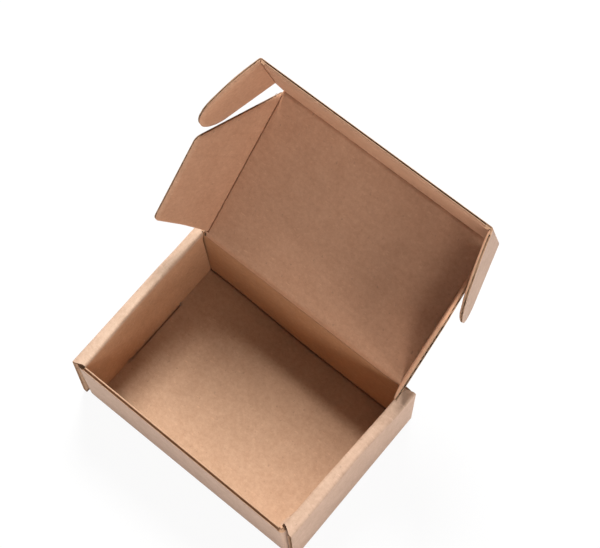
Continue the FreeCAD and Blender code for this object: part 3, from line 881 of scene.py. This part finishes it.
def side_wall(name, side):
    """Outer panel, roll-over strip and inner panel with its locking tab, mirrored by side."""
    centre = DOUBLE_WALL - HALF
    slot_out = DOUBLE_WALL + SLOT_AIR
    dent_out = DOUBLE_WALL + SLOT_DENT[0]
    slot_in = DOUBLE_WALL - BOARD - SLOT_AIR
    hand = "left" if side > 0 else "right"
    front_cut, panel_front = STRIP_FRONT_CUT[hand], PANEL_FRONT_TOP[hand]
    foot_back, top_back = OUTER_BACK[hand]
    top = HEIGHT - HALF
    points = [(FLOOR_EDGE, HALF), (dent_out + DENT_EDGE, HALF), (dent_out, HALF), (slot_out, HALF),
              (slot_in, HALF), (BOARD + STEP, HALF), (BOARD, HALF), (HALF, HALF), (HALF, top),
              (centre, top), (centre, SEAT)]
    rows = bent_path(points, [0, 0, 0, 0, 0, 0, FOLD, FOLD, FOLD], spacing=8.0)
    folds = bends(rows)
    rows = refined(rows, near(folds, (0.45, 0.8, 1.2, 1.8)))
    half_way = rows[-1][2] / 2

    def ends(place, s):
        x, z = place
        if z < FOLD_REACH and BOARD + STEP / 2 < x and s < half_way:
            return FOLD_REACH, DEPTH - FOLD_REACH
        if x > DOUBLE_WALL - BOARD and z < top - FOLD_REACH + STEP:
            front = PANEL_FRONT_FOOT + (panel_front - PANEL_FRONT_FOOT) * z / top
            lean = max(0.0, z - PANEL_BACK_KINK) / (top - PANEL_BACK_KINK)
            return front, DEPTH - PANEL_BACK_FOOT - (PANEL_BACK_TOP - PANEL_BACK_FOOT) * lean
        back = DEPTH + foot_back + (top_back - foot_back) * z / top
        if z > top - FOLD_REACH:
            share = share_of(x, HALF, centre)
            return front_cut * share, back - (back - DEPTH + STRIP_BACK_CUT) * share
        return 0.0, back

    slot_end = LOCK[1] + SLOT_AIR
    relief_end = slot_end + NOTCH_BACK
    raised, lowered = -NOTCH_RISE, LOCK_DROP
    # Places along the wall, each with how far the inner panel's foot is lengthened there
    grid = [(0.0, 0.0), (8.0, 0.0), (16.0, 0.0), (24.0, 0.0), (NOTCH[0], 0.0), (NOTCH[0], raised),
            (NOTCH[1], raised), (NOTCH[1], 0.0), (LOCK[0], 0.0), (LOCK[0], lowered),
            (52.0, lowered), (63.0, lowered), (74.0, lowered), (LOCK[1], lowered),
            (LOCK[1], raised), (slot_end, raised), (relief_end, raised), (relief_end, 0.0),
            (96.0, 0.0), (106.0, 0.0), (114.0, 0.0), (DEPTH, 0.0)]
    columns, feet = zip(*grid)
    slot_columns = range(columns.index(LOCK[0]) + 1, columns.index(slot_end))
    hole_rows = [i for i, r in enumerate(rows)
                 if abs(r[0].y - HALF) < SAME and slot_in < r[0].x <= slot_out + SAME]
    holes = [(i, j) for i in hole_rows for j in slot_columns]
    origin = Vector((-side * LENGTH / 2, Y0, 0))
    plane = plane_of(origin, Vector((side, 0, 0)), Vector((0, 0, 1)), Vector((0, 1, 0)))
    reach = LENGTH / 2 - FLOOR_EDGE
    sheet = Sheet(plane, lambda s, c: (-side * (reach + s) * MM, (c + Y0) * MM), settled)
    creases = fold_sink(folds)

    def sink(place, s, c):
        beside = slot_out - STEP < place.x < dent_out + STEP and place.y < BOARD and s < half_way
        if beside and NOTCH[0] < c < slot_end + STEP:
            return SLOT_DENT[1]
        return creases(place, s, c)

    lay_liners(sheet, rows, columns, ends, inner=-1, feet=feet, holes=holes, sink=sink)
    lay_fluting(sheet, rows, HALF, DEPTH + top_back - PANEL_EDGE, folds[0] + FLUTE_FOOT,
                lambda c: folds[1] - 1.0, -1, sink)
    lay_fluting(sheet, rows, panel_front + PANEL_EDGE, DEPTH - PANEL_BACK_TOP - PANEL_EDGE,
                folds[1] + 1.0, lambda c: rows[-1][2] - 0.3, -1, sink)
    return sheet.finish(name, PAPERS)


def make_tray():
    made = [base_sheet(), end_wall("front_wall", -1, FRONT_TAB, FRONT_TOP),
            end_wall("back_wall", 1, BACK_TAB, HINGE.z - LID_BELOW, shoulder=HINGE.z - HALF),
            side_wall("left_side_wall", 1), side_wall("right_side_wall", -1)]
    for piece in made:
        kept(piece, "tray")
        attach(piece, "tray")


# ---------------------------------------------------------------- lid and flaps

def crossing(piece):
    """The sheet's placement, baked into its mesh."""
    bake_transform(piece)


def lid_sheet():
    """From under the hinge crease to the tuck crease, notched where the flaps' sheets start."""
    end = LID_OUT * (LID_DEPTH - OVERLAP)
    flat = [LID_OUT * d for d in (DUST_START, DUST_START + STEP, DUST_END - STEP, DUST_END)]
    flat = [f for f in flat if f.length < end.length] + [end]
    points = [(0.0, -LID_BELOW), (0.0, 0.0)] + [(f.y, f.z) for f in flat]
    rows = bent_path(points, [HINGE_BEND] + [0] * len(flat), spacing=8.0)
    rows = refined(rows, near([LID_BELOW]))
    outward = Vector((LID_OUT.y, LID_OUT.z))

    def ends(place, s):
        gone = place.dot(outward)
        inside = DUST_START + STEP / 2 < gone < DUST_END - STEP / 2 and place.y > 0
        torn = 0.0 < gone < DUST_START + STEP / 2 and place.y > 0
        edge = LID_HALF - (OVERLAP if inside else 0.0) + (TORN_WEB if torn else 0.0)
        return -edge, edge

    plane = plane_of(HINGE, Vector((0, 1, 0)), Vector((0, 0, 1)), Vector((1, 0, 0)))
    sheet = Sheet(plane, lambda s, c: (c * MM, (s - LID_BELOW + BLANK) * MM))
    hinge = fold_sink([LID_BELOW], *HINGE_PRESS)

    def sink(place, s, c):
        return hinge(place, s, c) * (1 - ramp(abs(c), LID_HALF - HINGE_FADE, LID_HALF - OVERLAP))

    lay_liners(sheet, rows, spread(-LID_HALF + OVERLAP, LID_HALF - OVERLAP, 10.0), ends, sink=sink)
    by_hinge = [r for r in rows if r[0].dot(outward) < DUST_START + STEP / 2]
    for edge in (-1, 1):
        lay_cap(sheet, by_hinge, ends, edge, 1, sink)
    piece = kept(sheet.finish("lid_sheet", PAPERS), "lid_panel")
    crossing(piece)
    return piece


def tuck_sheet():
    """The tuck flap with the front fold, stepping out to its ear creases."""
    out = (LID_OUT.dot(TUCK_OUT), LID_FACE.dot(TUCK_OUT))
    stops = [TUCK_STEP, EAR_START, EAR_START + STEP, TUCK_DEPTH]
    points = [(-OVERLAP, 0.0), (0.0, 0.0)] + [(out[0] * d, out[1] * d) for d in stops]
    rows = bent_path(points, [CREASE_BEND] + [0] * len(stops), spacing=6.0)
    last = rows[-1][2]
    crease = bends(rows)[0]
    by_edge = [last - d for d in (2.6, 1.8, 1.1, 0.5)]
    rows = refined(rows, near([crease], (0.45, 0.9, 1.5, 2.3, 3.2)) + by_edge)
    ear_edge = EAR_HALF - OVERLAP

    def gone(s):
        return TUCK_DEPTH - (last - s)

    def ends(place, s):
        if gone(s) <= TUCK_STEP:
            edge = LID_HALF
        elif gone(s) <= EAR_START + STEP / 2:
            share = (gone(s) - TUCK_STEP) / (EAR_START - TUCK_STEP)
            edge = LID_HALF + (EAR_HALF - LID_HALF) * share
        else:
            edge = ear_edge
        return -edge, edge

    def sink(place, s, c):
        # The crease is deeper here and there along the fold
        uneven = 0.75 + 0.16 * sin(0.23 * c) + 0.12 * sin(0.61 * c + 1.0)
        deep, width = TUCK_PRESS
        return max(creased(s, crease, deep * uneven, width), crushed(last - s))

    plane = plane_of(TUCK_CREASE, LID_OUT, LID_FACE, ACROSS)
    sheet = Sheet(plane, lambda s, c: (c * MM, (s + BLANK + LID_DEPTH - OVERLAP) * MM))
    lay_liners(sheet, rows, spread(-LID_HALF + 4.0, LID_HALF - 4.0, 5.0), ends, sink=sink)
    lay_cross_fluting(sheet, rows, last - TUCK_FLUTES[0], last - TUCK_FLUTES[1], -ear_edge,
                      ear_edge, 1, sink)
    stepped = [r for r in rows if gone(r[2]) <= EAR_START + STEP / 2]
    for edge in (-1, 1):
        lay_cap(sheet, stepped, ends, edge, 1, sink)
    piece = kept(sheet.finish("tuck_sheet", PAPERS), "tuck_flap")
    crossing(piece)
    return piece


def side_flap(name, nodes, side, angle, outline, crease, along_parent, face, flat_at):
    """An ear or dust flap.  Its crease runs along c, and it reaches out of it by its outline."""
    out = Vector((side, 0, 0))
    turn = radians(180 - angle)
    reach = max(p.y for p in outline)
    tip = (reach * cos(turn), reach * sin(turn))
    rows = bent_path([(-OVERLAP, 0.0), (0.0, 0.0), tip], [CREASE_BEND], spacing=4.0)
    last = rows[-1][2]
    fold = bends(rows)[0]
    by_tip = [last - d for d in (3.4, 2.4, 1.6, 1.0, 0.5, 0.2)]
    rows = refined(rows, near([fold], (0.45, 0.8, 1.2, 1.8)) + by_tip)
    from_crease, from_sides, from_end = FLUTE_GAP

    def out_of_crease(s):
        return max(0.0, min(reach, reach - (last - s)))

    def ends(place, s):
        return limits(outline, out_of_crease(s), 0)

    def sink(place, s, c):
        gap = edge_gap(outline, Vector((c, out_of_crease(s))))
        return max(crushed(gap) * ramp(s, fold - 1.0, fold + 1.5), creased(s, fold, *FLAP_PRESS))

    def wave_end(c):
        return last - reach + limits(outline, c, 1)[1] - from_end

    plane = plane_of(crease, out, face, along_parent)
    sheet = Sheet(plane, lambda s, c: (side * (abs(crease.x) + s - OVERLAP) * MM,
                                       (c + flat_at) * MM))
    low = min(p.x for p in outline)
    high = max(p.x for p in outline)
    lay_liners(sheet, rows, edged(low, high, 6.0), ends, fan=True, sink=sink)
    beyond = [r for r in rows if r[2] > fold + 2.0]
    lay_fluting(sheet, beyond, low + from_sides, high - from_sides, fold + from_crease, wave_end, 1,
                sink)
    closed_to = fold + from_crease + 0.2
    by_crease = [r for r in refined(rows, [closed_to]) if r[2] <= closed_to + STEP]
    for edge in (-1, 1):
        lay_cap(sheet, by_crease, ends, edge, 1, sink)
    piece = kept(sheet.finish(name, PAPERS), nodes[1])
    crossing(piece)
    return piece


def ear_outline():
    start, end = EAR_START, TUCK_DEPTH
    lean, free_lean = EAR_LEANS
    free, tip, nose = EAR_ROUNDS
    return rounded([(start, 0, 0), (end, 0, 0), (end, EAR_STRAIGHT, free),
                    (end - free_lean, EAR_LENGTH, tip), (start + lean, EAR_LENGTH, nose)], steps=9)


def dust_outline(hand):
    halfway, outside = DUST_BACK[hand]
    front, back, bend = DUST_ROUNDS
    return rounded([(DUST_START, 0, 0), (DUST_END, 0, 0),
                    (DUST_END - DUST_SHOULDER[hand], DUST_OUT, front),
                    (DUST_START + outside, DUST_OUT, back),
                    (DUST_START + halfway, DUST_OUT / 2, bend)])


def make_flaps():
    lid_sheet()
    tuck_sheet()
    for side, hand in ((-1, "left"), (1, "right")):
        ear = Vector((side * EAR_HALF, TUCK_CREASE.y, TUCK_CREASE.z))
        side_flap(hand + "_ear_sheet", ("tuck_flap", hand + "_ear"), side, ANGLES[hand + "_ear"],
                  ear_outline(), ear, TUCK_OUT, TUCK_FACE, BLANK + LID_DEPTH)
        dust = Vector((side * LID_HALF, HINGE.y, HINGE.z))
        side_flap(hand + "_dust_sheet", ("lid_panel", hand + "_dust_flap"), side,
                  ANGLES[hand + "_dust"], dust_outline(hand), dust, LID_OUT, LID_FACE, BLANK)


# ---------------------------------------------------------------- stage, light and camera

def make_stage():
    bpy.ops.mesh.primitive_plane_add(size=FLOOR_SIZE, location=(0, 0, -FLOOR_DROP))
    floor = bpy.context.object
    floor.name = "floor"
    floor.data.materials.append(white_stage())


def area_light(name, azimuth, elevation, watts, size):
    """A round soft box that faces the middle of the object."""
    data = bpy.data.lights.new(name, "AREA")
    data.shape = "DISK"
    data.size = size
    data.energy = watts
    light = bpy.data.objects.new(name, data)
    bpy.context.collection.objects.link(light)
    turn, rise = radians(azimuth), radians(elevation)
    away = Vector((cos(rise) * cos(turn), cos(rise) * sin(turn), sin(rise)))
    light.location = Vector(LIGHT_AIM) + away * LIGHT_DISTANCE
    light.rotation_mode = "QUATERNION"
    light.rotation_quaternion = (-away).to_track_quat("-Z", "Y")


def make_lights():
    """A key from high behind the left wall, and weak low fills from the front and the right."""
    world = bpy.data.worlds.new("studio")
    bpy.context.scene.world = world
    world.use_nodes = True
    background = world.node_tree.nodes["Background"]
    background.inputs["Color"].default_value = (1.0, 1.0, 1.0, 1.0)
    background.inputs["Strength"].default_value = WORLD_LIGHT
    for light in LIGHTS:
        area_light(*light)


def make_camera():
    """High in front of the right-hand corner, rolled a little, with a long lens."""
    turn, down, roll = radians(CAMERA_TURN), radians(CAMERA_DOWN), radians(CAMERA_ROLL)
    ahead = Vector((-sin(turn) * cos(down), cos(turn) * cos(down), -sin(down)))
    right = Vector((cos(turn), sin(turn), 0))
    up = right.cross(ahead)
    tilted_right = right * cos(roll) + up * sin(roll)
    tilted_up = up * cos(roll) - right * sin(roll)
    data = bpy.data.cameras.new("camera")
    data.lens = CAMERA_LENS
    camera = bpy.data.objects.new("camera", data)
    bpy.context.collection.objects.link(camera)
    matrix = Matrix((tilted_right, tilted_up, -ahead)).transposed().to_4x4()
    matrix.translation = Vector(CAMERA_PLACE)
    camera.matrix_world = matrix
    bpy.context.scene.camera = camera


make_tray()
make_flaps()
make_stage()
make_lights()
make_camera()
bpy.context.scene.view_settings.view_transform = "Standard"
